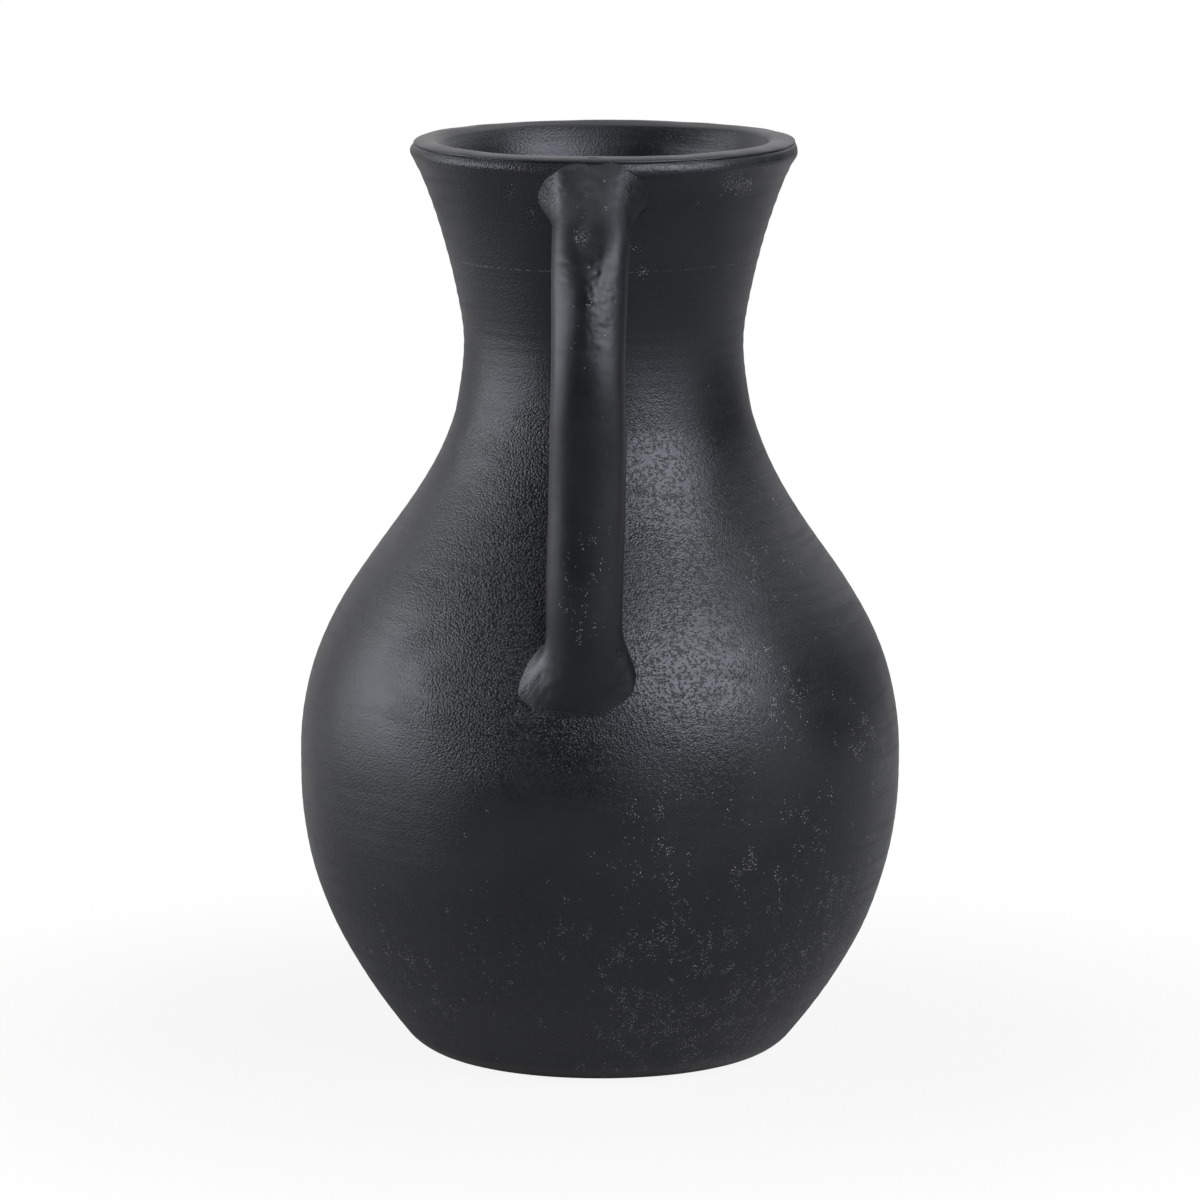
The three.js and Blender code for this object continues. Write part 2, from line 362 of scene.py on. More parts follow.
    # throwing lines: long level scratches, strongest on the neck and in the mouth
    drawn = addNode(tree, "ShaderNodeVectorMath", times, {0: place, 1: (0.03, 0.03, 1)})
    lines = addNode(tree, "ShaderNodeTexNoise", None,
                    {"Vector": drawn, "Scale": 1 / (look["throwLine"] * mm), "Detail": 2, "Roughness": 0.6})
    lineDepth = look["throwLineDepth"] / look["reliefUnit"]
    linesHere = addNode(tree, "ShaderNodeMapRange", smooth,
                        {"Value": height, **between(look["lineHeights"]),
                         "To Min": 0.2 * lineDepth, "To Max": lineDepth})
    lineRelief = addNode(tree, "ShaderNodeMath", timesPlus, {0: lines, 1: linesHere, 2: grainRelief})

    # level streaks left by the wiping rag
    wiped = addNode(tree, "ShaderNodeVectorMath", times, {0: place, 1: (0.07, 0.07, 1)})
    streaks = addNode(tree, "ShaderNodeTexNoise", None,
                      {"Vector": wiped, "Scale": 1 / (look["streak"] * mm), "Detail": 2, "Roughness": 0.5})
    streakShare = addNode(tree, "ShaderNodeMapRange", smooth,
                          {"Value": streaks, "From Min": 0.5, "From Max": 0.68})

    # sheen: duller on the wiped right side and the neck, weaker in the grain's hollows as painted shade, and
    # stronger on the handle's crown and on the left of its lower root as painted highlight
    farRight = addNode(tree, "ShaderNodeMapRange", smooth,
                       {"Value": axes["X"], **between(look["wipedSide"])})
    overBelly = addNode(tree, "ShaderNodeMapRange", smooth,
                        {"Value": height, **between(look["wipedHeights"])})
    wipedSide = addNode(tree, "ShaderNodeMath", times, {0: farRight, 1: overBelly})
    streakier = addNode(tree, "ShaderNodeMapRange", None,
                        {"Value": streaks, "From Min": 0.42, "From Max": 0.7, "To Min": 0.3, "To Max": 1.0})
    wipedShare = addNode(tree, "ShaderNodeMath", times, {0: wipedSide, 1: streakier})
    rightNeck = addNode(tree, "ShaderNodeMapRange", smooth,
                        {"Value": axes["X"], **between(look["neckSide"]), "To Min": 0.5})
    overShoulder = addNode(tree, "ShaderNodeMapRange", smooth,
                           {"Value": height, **between(look["neckBottom"])})
    underLip = addNode(tree, "ShaderNodeMapRange", smooth, {"Value": height, **between(look["neckTop"])})
    wholeNeck = addNode(tree, "ShaderNodeMath", times, {0: overShoulder, 1: underLip})
    dullNeck = addNode(tree, "ShaderNodeMath", times, {0: rightNeck, 1: wholeNeck})
    dullShare = addNode(tree, "ShaderNodeMath", larger, {0: wipedShare, 1: dullNeck})
    cleanSheen = addNode(tree, "ShaderNodeMapRange", None,
                         {"Value": dullShare, "To Min": look["clearSheen"], "To Max": look["dullSheen"]})
    # painted shade in the grain: less sheen in its pits and in the plates' cracks, weaker higher up
    pit = addNode(tree, "ShaderNodeMapRange", smooth, {"Value": grain, "From Min": 0.35, "From Max": 0.64})
    pitLeft = addNode(tree, "ShaderNodeMapRange", None, {"Value": plateShare, "To Min": 1.0, "To Max": 0.12})
    pitted = addNode(tree, "ShaderNodeMath", times, {0: pit, 1: pitLeft})
    hollows = addNode(tree, "ShaderNodeMath", timesPlus, {0: crackShare, 1: 0.5, 2: pitted})
    openGrain = addNode(tree, "ShaderNodeMath", {"operation": "POWER"}, {0: grained, 1: 2})
    lowDown = addNode(tree, "ShaderNodeMapRange", smooth,
                      {"Value": height, **between(look["hollowShadeFading"]), "To Min": 1.0, "To Max": 0.4})
    openLow = addNode(tree, "ShaderNodeMath", times, {0: openGrain, 1: lowDown})
    shaded = addNode(tree, "ShaderNodeMath", times, {0: hollows, 1: openLow})
    sheenLeft = addNode(tree, "ShaderNodeMapRange", None, {"Value": shaded, "To Min": 1.1, "To Max": 0.52})
    # painted highlight: extra sheen on the crown of the handle over its bend
    offRight = addNode(tree, "ShaderNodeMapRange", smooth,
                       {"Value": axes["X"], **between(look["crownSide"]),
                        "To Min": 1.0, "To Max": look["crownSheen"]})
    crown = addNode(tree, "ShaderNodeMapRange", smooth,
                    {"Value": height, **between(look["crownHeights"]), "To Min": 1.0, "To Max": offRight})
    crownSheen = addNode(tree, "ShaderNodeMath", times, {0: cleanSheen, 1: crown})
    # painted highlight: extra sheen on the left of the handle's lower root
    onLeft = addNode(tree, "ShaderNodeMapRange", smooth,
                     {"Value": axes["X"], **between(look["lobeSide"]),
                      "To Min": 1.0, "To Max": look["lobeSheen"]})
    lobe = addNode(tree, "ShaderNodeMapRange", smooth,
                   {"Value": height, **between(look["lobeHeights"]), "To Min": 1.0, "To Max": onLeft})
    lobeSheen = addNode(tree, "ShaderNodeMath", times, {0: crownSheen, 1: lobe})
    sheenLevel = addNode(tree, "ShaderNodeMath", times, {0: lobeSheen, 1: sheenLeft})

    # one scored line round the neck, broken, and fainter on the right
    below = addNode(tree, "ShaderNodeMath", difference, {0: height, 1: look["scoreHeight"] * mm})
    wavering = addNode(tree, "ShaderNodeMath", timesPlus, {0: drift, 1: look["scoreWaver"] * mm, 2: below})
    offLine = addNode(tree, "ShaderNodeMath", {"operation": "ABSOLUTE"}, {0: wavering})
    scored = addNode(tree, "ShaderNodeMapRange", smooth,
                     {"Value": offLine, "From Min": look["scoreWidth"] * mm,
                      "From Max": 0.25 * look["scoreWidth"] * mm - 1e-6})
    fainter = addNode(tree, "ShaderNodeMapRange", None,
                      {"Value": axes["X"], **between(look["scoreFading"]), "To Min": 1.0, "To Max": 0.3})
    brokenLine = addNode(tree, "ShaderNodeMath", times, {0: scored, 1: kept})
    scoreShare = addNode(tree, "ShaderNodeMath", times, {0: brokenLine, 1: fainter})
    relief = addNode(tree, "ShaderNodeMath", timesPlus, {0: scoreShare, 1: -0.5, 2: lineRelief})
    bumpNormal = addNode(tree, "ShaderNodeBump", None,
                         {"Strength": 1.0, "Distance": look["reliefUnit"] * mm, "Height": relief})

    # specks: one in each small cell, kept only where a patch and an upright streak meet, and where rubbed
    cells = addNode(tree, "ShaderNodeTexVoronoi", None,
                    {"Vector": place, "Scale": 1 / (look["speckSpacing"] * mm)})
    dot = addNode(tree, "ShaderNodeMapRange", smooth, {"Value": cells, "From Min": 0.42, "From Max": 0.18})
    chance = addNode(tree, "ShaderNodeSeparateColor", None, {0: cells.node.outputs["Color"]}).node.outputs
    upright = addNode(tree, "ShaderNodeVectorMath", times, {0: place, 1: (1, 1, 0.55)})
    runs = addNode(tree, "ShaderNodeTexNoise", None,
                   {"Vector": upright, "Scale": 1 / (look["speckStreak"] * mm),
                    "Detail": 3, "Roughness": 0.6})
    patches = addNode(tree, "ShaderNodeTexNoise", None,
                      {"Vector": place, "Scale": 1 / (look["speckPatch"] * mm), "Detail": 2})
    gathered = addNode(tree, "ShaderNodeMath", timesPlus, {0: patches, 1: 0.6, 2: runs})
    likelier = 0.0
    for axis, changes in (("X", look["speckSides"]), ("Z", look["speckHeights"])):
        for start, end, less, more in changes:
            here = addNode(tree, "ShaderNodeMapRange", smooth,
                           {"Value": axes[axis], **between((start, end)), "To Min": less, "To Max": more})
            likelier = addNode(tree, "ShaderNodeMath", plus, {0: likelier, 1: here})
    gatheredHere = addNode(tree, "ShaderNodeMath", plus, {0: gathered, 1: likelier})
    thicker = addNode(tree, "ShaderNodeMath", timesPlus, {0: scuffed, 1: 0.34, 2: gatheredHere})
    need = addNode(tree, "ShaderNodeMapRange", smooth,
                   {"Value": thicker, "From Min": 0.85, "From Max": 1.12, "To Min": 1.002, "To Max": 0.3})
    picked = addNode(tree, "ShaderNodeMath", {"operation": "GREATER_THAN"}, {0: chance["Red"], 1: need})
    specks = addNode(tree, "ShaderNodeMath", times, {0: dot, 1: picked})
    paleness = addNode(tree, "ShaderNodeMapRange", None,
                       {"Value": chance["Green"], "To Min": 0.18, "To Max": 0.95})
    speckShare = addNode(tree, "ShaderNodeMath", times, {0: specks, 1: paleness})

    # colour: mottled black under fine dust, then the scored line, the chalky foot and the specks over it
    mottle = addNode(tree, "ShaderNodeTexNoise", None,
                     {"Vector": place, "Scale": 1 / (look["mottle"] * mm), "Detail": 4})
    mottleShare = addNode(tree, "ShaderNodeMapRange", None,
                          {"Value": mottle, "From Min": 0.35, "From Max": 0.65})
    fine = addNode(tree, "ShaderNodeTexNoise", None,
                   {"Vector": place, "Scale": 1 / (look["dustGrain"] * mm), "Detail": 3, "Roughness": 0.7})
    settled = addNode(tree, "ShaderNodeMapRange", smooth,
                      {"Value": height, **between(look["dustHeights"]),
                       "To Min": 0.2 * look["dustShare"], "To Max": look["dustShare"]})
    dustShare = addNode(tree, "ShaderNodeMapRange", None,
                        {"Value": fine, "From Min": 0.46, "From Max": 0.74, "To Max": settled})
    worn = addNode(tree, "ShaderNodeMath", timesPlus, {0: drift, 1: -9 * mm, 2: height})
    chalky = addNode(tree, "ShaderNodeMapRange", smooth,
                     {"Value": worn, **between((look["chalkHeight"], -3)), "To Max": look["chalkShare"]})
    colour = hexColour(look["dark"])
    layers = {"mid": mottleShare, "dust": dustShare, "score": scoreShare,
              "chalk": chalky, "speck": speckShare}
    for over, share in layers.items():
        mixed = addNode(tree, "ShaderNodeMix", colours, {0: share, 6: colour, 7: hexColour(look[over])})
        colour = mixed.node.outputs[2]

    # roughness: uneven, duller in the wiped streaks and where dusty, silkier on the grain
    uneasy = addNode(tree, "ShaderNodeMapRange", None,
                     {"Value": mottle, "From Min": 0.3, "From Max": 0.7,
                      "To Min": look["roughness"] - 0.04, "To Max": look["roughness"] + 0.05})
    duller = addNode(tree, "ShaderNodeMath", timesPlus, {0: streakShare, 1: 0.05, 2: uneasy})
    silkier = addNode(tree, "ShaderNodeMath", timesPlus, {0: grained, 1: -look["silk"], 2: duller})
    dusty = addNode(tree, "ShaderNodeMath", timesPlus, {0: specks, 1: 0.3, 2: silkier})

    shader = addNode(tree, "ShaderNodeBsdfPrincipled", None,
                     {"Base Color": colour, "Roughness": dusty, "IOR": 1.5, "Normal": bumpNormal,
                      "Specular IOR Level": look["clearSheen"], "Specular Tint": hexColour(look["sheen"])})
    # the socket's own value stays for an export that drops its link
    tree.links.new(sheenLevel, shader.node.inputs["Specular IOR Level"])
    addNode(tree, "ShaderNodeOutputMaterial", None, {"Surface": shader})
    return material


# Thrown body: one wall from the foot to the rolled lip and down the inside. Sizes in mm.
thrownBody = {
    "wall": 7,
    "rimWall": 10,  # the wall thickens towards the lip
    "footFlatRadius": 49,
    "footEdgeRadius": 19,
    "footThickness": 10,
    "lowerWallAngle": 51,
    "lowerWallPull": 50,
    "bellyHeight": 98.4,
    "bellyPullDown": 25,
    "bellyPullUp": 64,
    "waistRadius": 45,
    "waistHeight": 234.6,
    "waistPullDown": 60,
    "waistPullUp": 5,
    "waistEasing": 40,  # rounds of smoothing, so that the sheen runs on from shoulder to neck
    "flareAngle": 32.5,
    "flarePull": 17.5,
    "lipWidth": 10.2,
    "lipRoll": 5.7,
    "lipCrown": 3.7,
    "bead": 3.2,  # the lip's outer edge is a round bead, a crease, and a low crown over it
    "beadDrop": 4.0,
    "beadEnd": 46,
    "crease": 0.6,
    "crownReach": 4.75,
    "crownRise": 1.25,
    "lipDip": 0.45,  # towards the handle
    "dipHeights": (270, 297),
    "neckLean": 1.2,  # the neck leans a little to the right
    "leanHeights": (150, 215),
    "seenInside": 200,  # the inside is finer above this height
    "slowLump": 0.28,
    "smallLump": 0.12,
    "insideRidge": 0.2,  # rings left by the throwing, and their spacing
    "insidePitch": 3.4,
    "outsideRidge": 0.03,
    "neckRidge": 0.05,  # so much higher on the neck
    "neckRidgeHeights": (205, 255),
    "outsidePitch": 4.6,
    "lipFingers": 0.45,
    "turns": 320,
}
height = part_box("rim_coil")[1].z / mm
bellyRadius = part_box("lower_bowl")[1].x / mm
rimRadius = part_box("rim_coil")[1].x / mm
up = Vector((0, 0, 1))
lipCentre = Vector((rimRadius - thrownBody["lipRoll"], 0, height - thrownBody["lipCrown"]))


# part of an ellipse in the plane of the profile, angles in degrees from the horizontal
def arc(centre, across, upwards, start, end, steps):
    angles = [math.radians(start + (end - start) * i / steps) for i in range(steps + 1)]
    return [centre + Vector((across * math.cos(a), 0, upwards * math.sin(a))) for a in angles]


def outsideLine():
    size = thrownBody
    footEdge = arc(Vector((size["footFlatRadius"], 0, size["footEdgeRadius"])), size["footEdgeRadius"],
                   size["footEdgeRadius"], -90, size["lowerWallAngle"] - 90, 10)
    beadCentre = Vector((rimRadius - size["bead"], 0, height - size["beadDrop"]))
    bead = arc(beadCentre, size["bead"], size["bead"], -size["flareAngle"], size["beadEnd"], 20)
    crease = bead[-1] + Vector((-size["crease"], 0, 0.09))
    crownCentre = Vector((lipCentre.x, 0, height - size["crownRise"]))
    crown = arc(crownCentre, size["crownReach"], size["crownRise"], -14, 90, 22)
    lowerAngle = math.radians(size["lowerWallAngle"])
    flareAngle = math.radians(size["flareAngle"])
    lowerSlope = Vector((math.cos(lowerAngle), 0, math.sin(lowerAngle)))
    flareSlope = Vector((math.sin(flareAngle), 0, math.cos(flareAngle)))
    foot = footEdge[-1]
    belly = Vector((bellyRadius, 0, size["bellyHeight"]))
    waist = Vector((size["waistRadius"], 0, size["waistHeight"]))
    flare = bead[0]
    lowerWall = interpolate_bezier(foot, foot + lowerSlope * size["lowerWallPull"],
                                   belly - up * size["bellyPullDown"], belly, 56)
    shoulder = interpolate_bezier(belly, belly + up * size["bellyPullUp"],
                                  waist - up * size["waistPullDown"], waist, 76)
    neck = interpolate_bezier(waist, waist + up * size["waistPullUp"],
                              flare - flareSlope * size["flarePull"], flare, 34)
    wall = footEdge + lowerWall[1:] + shoulder[1:] + neck[1:]
    for _ in range(size["waistEasing"]):
        eased = [p if abs(p.z - size["waistHeight"]) > 22 else (a + p * 2 + b) / 4
                 for a, p, b in zip(wall, wall[1:], wall[2:])]
        wall = wall[:1] + eased + wall[-1:]
    return wall, bead[1:] + [crease] + crown


wallLine, lipLine = outsideLine()
outerHeights = [p.z for p in wallLine + lipLine]
outerRadii = [p.x for p in wallLine + lipLine]


# outer radius of the pot at a height
def wallRadius(level):
    i = min(max(bisect.bisect(outerHeights, level), 1), len(outerHeights) - 1)
    share = (level - outerHeights[i - 1]) / (outerHeights[i] - outerHeights[i - 1])
    return outerRadii[i - 1] + share * (outerRadii[i] - outerRadii[i - 1])


# the same for the handle's roots, which lie smoothly over the lip's crease
def rootRadius(level):
    rise = (level - lipCentre.z) / thrownBody["lipCrown"]
    if rise <= 0:
        return wallRadius(level)
    return lipCentre.x + thrownBody["lipRoll"] * math.sqrt(1 - min(rise, 1) ** 2)


def neckLean(level):
    return thrownBody["neckLean"] * smoothStep(*thrownBody["leanHeights"], level)


# the inside of the wall, lip to floor, with fewer points where nothing shows
def insideLine():
    inner = []
    for before, point, after in zip(wallLine, wallLine[1:], wallLine[2:]):
        slope = (after - before).normalized()
        thicker = smoothStep(thrownBody["waistHeight"] - 20, lipCentre.z - 4, point.z)
        wall = thrownBody["wall"] + (thrownBody["rimWall"] - thrownBody["wall"]) * thicker
        inset = Vector((point.x - slope.z * wall, 0, point.z + slope.x * wall))
        if thrownBody["footThickness"] + 1 < inset.z < lipCentre.z + 0.3:
            inner.append(inset)
    inner.reverse()
    shown = [p for p in inner if p.z > thrownBody["seenInside"]]
    hidden = [p for p in inner if p.z <= thrownBody["seenInside"]]
    floor = Vector((0, 0, thrownBody["footThickness"]))
    return shown + hidden[::4] + [Vector((r, 0, floor.z)) for r in (52, 36, 18)] + [floor]


def throwBody(material):
    size = thrownBody
    underside = [Vector((r, 0, 0)) for r in (0, 14, 28, 40)]
    lipInside = arc(lipCentre, size["lipWidth"] - size["lipRoll"], size["lipCrown"], 90, 150, 10)
    profile = underside + wallLine + lipLine + lipInside[1:] + insideLine()
    bm = bmesh.new()
    line = [bm.verts.new(p) for p in profile]
    edges = [bm.edges.new(pair) for pair in zip(line, line[1:])]
    bmesh.ops.spin(bm, geom=line + edges, cent=(0, 0, 0), axis=(0, 0, 1), angle=math.pi / 2,
                   steps=size["turns"] // 4)
    for turn in (math.pi / 2, math.pi):  # the quarter is copied to a half, the half to a whole
        copied = bmesh.ops.duplicate(bm, geom=bm.verts[:] + bm.edges[:] + bm.faces[:])["geom"]
        bmesh.ops.rotate(bm, cent=(0, 0, 0), matrix=Matrix.Rotation(turn, 3, "Z"),
                         verts=[item for item in copied if isinstance(item, bmesh.types.BMVert)])
    bmesh.ops.remove_doubles(bm, verts=bm.verts, dist=1e-4)
    bmesh.ops.recalc_face_normals(bm, faces=bm.faces)
    bm.normal_update()
    for vert in bm.verts:
        vert.co += vert.normal * thrownRelief(vert)
    for vert in bm.verts:
        towardsHandle = max(-vert.co.y / rimRadius, 0)
        vert.co.z -= size["lipDip"] * towardsHandle * smoothStep(*size["dipHeights"], vert.co.z)
        vert.co.x += neckLean(vert.co.z)
    piece = newPiece("thrown_body", bm, material)
    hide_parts("foot_slab", "lower_bowl", "shoulder_dome", "neck_collar", "rim_coil")
    return piece


# how far the thrown skin stands in or out of its true line, in mm
def thrownRelief(vert):
    size = thrownBody
    point = vert.co.copy()
    radius = math.hypot(point.x, point.y)
    if radius < 1 or point.z < 0.5:
        return 0
    facing = (vert.normal.x * point.x + vert.normal.y * point.y) / radius
    angle = math.degrees(math.atan2(point.x, -point.y))  # 0 at the handle, positive to its right
    fade = smoothStep(0.5, 9, point.z)
    relief = fade * (size["slowLump"] * uneven(point, 42, 3) + size["smallLump"] * uneven(point, 16, 5))
    inside = facing < -0.2
    onNeck = smoothStep(*size["neckRidgeHeights"], point.z)
    ridge = size["insideRidge"] if inside else size["outsideRidge"] + size["neckRidge"] * onNeck
    pitch = size["insidePitch"] if inside else size["outsidePitch"]
    relief += fade * ridge * math.sin(2 * math.pi * point.z / pitch + math.radians(angle)
                                      + 2 * uneven(point, 55, 8))
    if point.z > lipCentre.z - 4 and not inside:
        fingers = 0.3 + 0.7 * hump(55, 32, angle)
        relief += size["lipFingers"] * fingers * uneven(Vector((angle / 9, point.z / 7, 0)), 1, 11)
    return relief


# Pulled handle: a strap of clay drawn out by hand, bent over from the lip and pressed on to the shoulder.
# Sizes in mm.
pulledHandle = {
    "width": 23.3,
    "thickness": 18,
    "fingerRoom": 35,
    "topDrop": 12.2,
    "topPull": 31,
    "bendHeight": 217,
    "bendPull": 33,
    "dropPull": 48,
    "lowHeight": 141,
    "lowAngle": 22,
    "lowPull": 30,
    "rootDepth": 14,
    # how much wider each half is, from one height to another
    "widenings": [(0.8, 240, 282), (0.5, 238, 212)],
    # strength, height and half height of a ridge under the bend, a flat on the bend's right and a flat grip
    "ridge": (0.2, 252, 11),
    "bendFlat": (0.2, 273, 10),
    "gripFlat": (0.14, 208, 42),
    # each root: its middle and half sizes on the wall, the share of its length on the side of the bar, how
    # square and how low it is at the bottom left, its run along the bar, and how its skin runs to the wall
    # at the sides and at the far end: following the bar for a share of the way, standing off the wall by so
    # many mm, and laid along it by a share of its spread
    "upperRoot": {"height": 286.4, "across": 18.4, "along": 13.2, "shift": 0, "barSide": 0.65,
                  "leftPower": 1, "leftHang": 0, "run": 10,
                  "left": (0.25, 3.2, 0.25), "right": (0.3, 2.4, 0.35), "end": (0.6, 1.4, 0.05)},
    "lowerRoot": {"height": 137.2, "across": 19.6, "along": 15.4, "shift": -3.1, "barSide": 1,
                  "leftPower": 0.7, "leftHang": 5, "run": 14,
                  "left": (0.45, 3.3, 0.25), "right": (0.3, 2.1, 0.14), "end": (0.8, 2.4, 0.45)},
    # marks of the hand on the outside: middle and half sizes across and up, and depth
    "marks": {
        "thumbHollow": {"across": 0.3, "wide": 5.8, "height": 279, "tall": 9, "depth": 1.4},
        "slump": {"across": -16, "wide": 13, "height": 141, "tall": 14, "depth": 0.8},
        "pinhole": {"across": 3, "wide": 0.6, "height": 266.5, "tall": 0.6, "depth": 0.4},
        "ripples": {"across": -9, "wide": 4, "height": 264, "tall": 8, "depth": 0.22},
        "dents": {"across": 3.5, "wide": 4.5, "height": 258, "tall": 13, "depth": 0.2},
    },
    "sunk": 1.0,
    "sides": 144,
    "rings": 300,
    "rootRings": 36,
}


# a point of the handle's plane: distance out from the axis, and height
def inHandlePlane(out, level):
    return Vector((0, -out, level))


def handleLine():
    size = pulledHandle
    topHeight = height - size["topDrop"]
    reach = thrownBody["waistRadius"] + size["fingerRoom"] + size["thickness"] / 2
    outwards = inHandlePlane(1, 0)
    lowAngle = math.radians(size["lowAngle"])
    landing = inHandlePlane(-math.sin(lowAngle), -math.cos(lowAngle))
    start = inHandlePlane(wallRadius(topHeight) - size["rootDepth"], topHeight)
    bend = inHandlePlane(reach, size["bendHeight"])
    end = inHandlePlane(wallRadius(size["lowHeight"]), size["lowHeight"]) + landing * size["rootDepth"]
    upper = interpolate_bezier(start, start + outwards * size["topPull"],
                               bend + up * size["bendPull"], bend, 160)
    lower = interpolate_bezier(bend, bend - up * size["dropPull"], end - landing * size["lowPull"], end, 160)
    return upper + lower[1:]


# the bar between its roots, as evenly spaced centres with their directions
def barStations():
    line = handleLine()
    topOut = wallRadius(height - pulledHandle["topDrop"]) + pulledHandle["upperRoot"]["run"]
    lowLevel = pulledHandle["lowHeight"] + pulledHandle["lowerRoot"]["run"]
    free = [p for p in line if -p.y >= topOut and p.z >= lowLevel]
    lengths = [0.0]
    for before, after in zip(free, free[1:]):
        lengths.append(lengths[-1] + (after - before).length)
    stations = []
    for i in range(pulledHandle["rings"] + 1):
        target = lengths[-1] * i / pulledHandle["rings"]
        k = min(max(bisect.bisect(lengths, target), 1), len(free) - 1)
        share = (target - lengths[k - 1]) / (lengths[k] - lengths[k - 1])
        stations.append((free[k - 1].lerp(free[k], share), (free[k] - free[k - 1]).normalized()))
    return stations


# one point of the bar's oval section; `side` and `face` run round a circle
def barPoint(station, side, face):
    size = pulledHandle
    centre, direction = station
    outward = Vector((0, direction.z, -direction.y))
    wider = sum(by * smoothStep(low, high, centre.z) for by, low, high in size["widenings"])
    half = size["width"] / 2 + wider
    ridge, bendFlat, gripFlat = (by * hump(middle, tall, centre.z)
                                 for by, middle, tall in (size["ridge"], size["bendFlat"], size["gripFlat"]))
    power = 1 + ridge - bendFlat * smoothStep(-0.5, 0.3, side) - gripFlat
    across, out = (math.copysign(abs(v) ** power, v) for v in (side, face))
    return centre + Vector((half * across, 0, 0)) + outward * (size["thickness"] / 2 * out)


# the same place on the oval where a root meets the wall, a little under the skin
def rootPoint(root, side, face, direction):
    reach = root["along"] * (root["barSide"] if face < 0 else 1)
    level = root["height"] + direction * reach * face
    if side < 0 < face:
        side = -abs(side) ** root["leftPower"]
    level += root["leftHang"] * min(side, 0)
    across = root["across"] * side + root["shift"]
    radius = rootRadius(level) - pulledHandle["sunk"]
    return Vector((across, -math.sqrt(radius * radius - across * across), level))


# a point on one root's skin, from the bar at share 0 to the wall at share 1
def rootSkin(root, station, away, direction, share, side, face):
    start = barPoint(station, side, face)
    end = rootPoint(root, side, face, direction)
    radial = Vector((end.x, end.y, 0)).normalized()
    lean = rootRadius(end.z + 0.5) - rootRadius(end.z - 0.5)
    normal = (radial - up * lean).normalized()
    span = end - start
    spread = span - normal * span.dot(normal)
    farEnd = smoothStep(0.1, 0.95, face)
    flank = root["left"] if side < 0 else root["right"]
    follow, stand, lay = [a + (b - a) * farEnd for a, b in zip(flank, root["end"])]
    pullStart = start + away * span.length * follow
    pullEnd = end + normal * stand - spread * lay
    keep = 1 - share
    return (start * keep ** 3 + pullStart * 3 * keep ** 2 * share
            + pullEnd * 3 * keep * share ** 2 + end * share ** 3)


# a grid of clay rolled into a bar: one row of it at a time is laid round the handle's line
def pullHandle(material):
    size = pulledHandle
    stations = barStations()
    first, last = stations[0], stations[-1]
    rootRings, rings = size["rootRings"], size["rings"]
    rows = 2 * rootRings + rings
    bm = bmesh.new()
    bmesh.ops.create_grid(bm, x_segments=size["sides"], y_segments=rows, size=1)
    for vert in bm.verts:
        turn = math.pi * vert.co.x
        side, face = math.sin(turn), math.cos(turn)
        row = round((vert.co.y + 1) / 2 * rows)
        if row < rootRings:
            share = 1 - row / rootRings
            vert.co = rootSkin(size["upperRoot"], first, -first[1], 1, share, side, face)
        elif row <= rootRings + rings:
            vert.co = barPoint(stations[row - rootRings], side, face)
        else:
            share = (row - rootRings - rings) / rootRings
            vert.co = rootSkin(size["lowerRoot"], last, last[1], -1, share, side, face)
    bmesh.ops.remove_doubles(bm, verts=bm.verts, dist=1e-4)
    ends = [edge for edge in bm.edges if edge.is_boundary]
    bmesh.ops.holes_fill(bm, edges=ends, sides=size["sides"])
    bmesh.ops.recalc_face_normals(bm, faces=bm.faces)
    bm.normal_update()
    for vert in bm.verts:
        vert.co += vert.normal * pulledRelief(vert.co.copy())
    for vert in bm.verts:
        vert.co.x += neckLean(vert.co.z)
    piece = newPiece("pulled_handle", bm, material)
    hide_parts("handle", "upper_lute", "lower_lute")
    return piece


# how much of a mark of the hand is felt at a point, from 0 to 1
def markShare(mark, point):
    outside = smoothStep(70, 82, -point.y)
    across = hump(mark["across"], mark["wide"], point.x)
    return across * hump(mark["height"], mark["tall"], point.z) * outside


# lumps left by the hand, in mm: slow ones all along, small ones where fingers pressed and where the roots
# were smeared, and the marks
def pulledRelief(point):
    marks = pulledHandle["marks"]
    felt = {name: mark["depth"] * markShare(mark, point) for name, mark in marks.items()}
    smeared = smoothStep(278, 290, point.z) + smoothStep(150, 138, point.z)
    relief = 0.12 * uneven(point, 13, 2) + (0.03 + felt["dents"] + 0.15 * smeared) * uneven(point, 3.4, 4)
    relief += (0.01 + 1.3 * felt["dents"] + 0.06 * smeared) * uneven(point, 1.8, 6)
    creases = uneven(Vector((point.x / 5, 0, point.z / 1.9 + 0.1 * point.x)), 1, 9)
    relief += felt["ripples"] * min(creases, 0.1)
    return relief - felt["thumbHollow"] - felt["slump"] - felt["pinhole"]


throwBody(blackClay("black burnished earthenware", burnishedClay))
pullHandle(blackClay("wiped black clay", wipedClay))


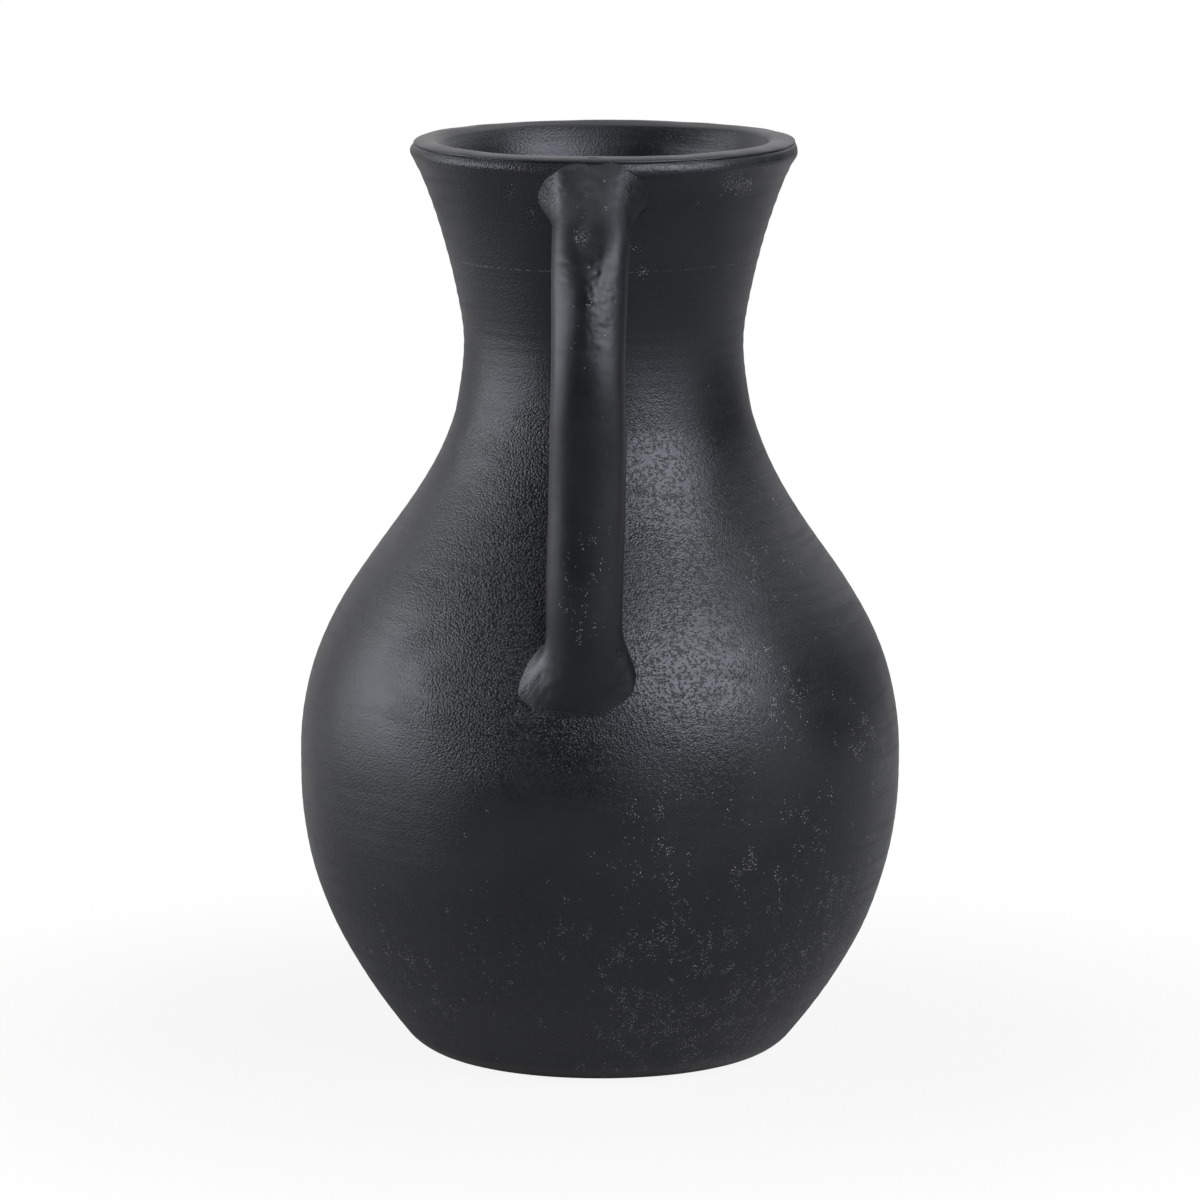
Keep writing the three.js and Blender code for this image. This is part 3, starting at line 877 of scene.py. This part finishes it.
# Studio: a wide low softbox on the left, a high one to the right of the camera, and a weak low one beyond it
softboxes = {
    "left": {"azimuth": -84, "elevation": 15.5, "distance": 1.8, "wide": 1.85, "tall": 1.15, "power": 30},
    "right": {"azimuth": 46, "elevation": 34, "distance": 1.8, "wide": 1.6, "tall": 1.25, "power": 39.5},
    "rightLow": {"azimuth": 74, "elevation": 3, "distance": 1.8, "wide": 1.0, "tall": 0.5, "power": 1.2},
}
middle = Vector((0, 0, 0.15))
for name, box in softboxes.items():
    turn, rise = math.radians(box["azimuth"]), math.radians(box["elevation"])
    toLamp = Vector((math.sin(turn) * math.cos(rise), -math.cos(turn) * math.cos(rise), math.sin(rise)))
    lampData = bpy.data.lights.new(name + "_softbox", "AREA")
    lampData.shape = "RECTANGLE"
    lampData.size = box["wide"]
    lampData.size_y = box["tall"]
    lampData.energy = box["power"]
    lamp = bpy.data.objects.new(name + "_softbox", lampData)
    lamp.location = middle + toLamp * box["distance"]
    lamp.rotation_euler = (-toLamp).to_track_quat("-Z", "Y").to_euler()
    scene.collection.objects.link(lamp)

# Room: white to the eye; in the sheen, white overhead and behind the vase; dim as a light. The floor is pale
# paper that keeps the vase's shadow. Lengths in metres.
room = {
    "wallTowards": (-0.35, 0.93, 0.1),
    "wallEdge": (0.75, 0.98),  # cosines of the angles between which it comes in
    "wallSheen": 0.6,
    "ceilingTowards": (0, 0.6, 0.8),
    "ceilingEdge": (0.42, 0.8),
    "light": 0.01,
    "floorRadius": 8,
    "paper": "#b0b0b0",
    "shadow": (0.1, 0.32, 0.9),  # from and to, away from the middle, and how white it is to the eye inside
    "floorSheen": (-0.1, 0.4, 0.04, 0.4),  # from front to back, and how much of it the sheen shows
}
white = hexColour("#ffffff")
world = bpy.data.worlds.new("studio")
scene.world = world
tree = newTree(world)
path = addNode(tree, "ShaderNodeLightPath").node.outputs
towards = addNode(tree, "ShaderNodeTexCoord").node.outputs["Generated"]
backwards = addNode(tree, "ShaderNodeVectorMath", {"operation": "DOT_PRODUCT"},
                    {0: towards, 1: room["wallTowards"]}).node.outputs["Value"]
behind = addNode(tree, "ShaderNodeMapRange", smooth,
                 {"Value": backwards, "From Min": room["wallEdge"][0], "From Max": room["wallEdge"][1],
                  "To Max": room["wallSheen"]})
upwards = addNode(tree, "ShaderNodeVectorMath", {"operation": "DOT_PRODUCT"},
                  {0: towards, 1: room["ceilingTowards"]}).node.outputs["Value"]
overhead = addNode(tree, "ShaderNodeMapRange", smooth,
                   {"Value": upwards,
                    "From Min": room["ceilingEdge"][0], "From Max": room["ceilingEdge"][1]})
backdrop = addNode(tree, "ShaderNodeMath", larger, {0: behind, 1: overhead})
sheenSeen = addNode(tree, "ShaderNodeMath", times, {0: path["Is Glossy Ray"], 1: backdrop})
eyeSeen = addNode(tree, "ShaderNodeMath", plus, {0: path["Is Camera Ray"], 1: path["Is Transmission Ray"]})
seen = addNode(tree, "ShaderNodeMath", {"operation": "ADD", "use_clamp": True}, {0: eyeSeen, 1: sheenSeen})
strength = addNode(tree, "ShaderNodeMapRange", None, {"Value": seen, "To Min": room["light"], "To Max": 1.0})
backdropLight = addNode(tree, "ShaderNodeBackground", None, {"Color": white, "Strength": strength})
addNode(tree, "ShaderNodeOutputWorld", None, {"Surface": backdropLight})

# White paper sweep: a sheet of plain uncoated paper. It gives an even matt white that only the shadow greys.
paper = bpy.data.materials.new("white paper sweep")
tree = newTree(paper)
path = addNode(tree, "ShaderNodeLightPath").node.outputs
place = addNode(tree, "ShaderNodeTexCoord").node.outputs["Object"]
away = addNode(tree, "ShaderNodeVectorMath", distance, {0: place}).node.outputs["Value"]
near, far, whiteness = room["shadow"]
share = addNode(tree, "ShaderNodeMapRange", smooth,
                {"Value": away, "From Min": near, "From Max": far, "To Min": whiteness, "To Max": 1.0})
eyeSeen = addNode(tree, "ShaderNodeMath", plus, {0: path["Is Camera Ray"], 1: path["Is Transmission Ray"]})
depth = addNode(tree, "ShaderNodeSeparateXYZ", None, {0: place}).node.outputs["Y"]
front, back, least, most = room["floorSheen"]
sheenShare = addNode(tree, "ShaderNodeMapRange", smooth,
                     {"Value": depth, "From Min": front, "From Max": back, "To Min": least, "To Max": most})
anySeen = addNode(tree, "ShaderNodeMath", timesPlus, {0: path["Is Glossy Ray"], 1: sheenShare, 2: eyeSeen})
seen = addNode(tree, "ShaderNodeMath", times, {0: anySeen, 1: share})
matt = addNode(tree, "ShaderNodeBsdfDiffuse", None, {"Color": hexColour(room["paper"])})
glow = addNode(tree, "ShaderNodeEmission", None, {"Color": white, "Strength": 1.0})
mixed = addNode(tree, "ShaderNodeMixShader", None, {0: seen, 1: matt, 2: glow})
addNode(tree, "ShaderNodeOutputMaterial", None, {"Surface": mixed})
bm = bmesh.new()
bmesh.ops.create_circle(bm, cap_ends=True, radius=room["floorRadius"], segments=64)
floorMesh = bpy.data.meshes.new("floor")
bm.to_mesh(floorMesh)
bm.free()
floorMesh.materials.append(paper)
floor = bpy.data.objects.new("floor", floorMesh)
scene.collection.objects.link(floor)
print("studio lit")
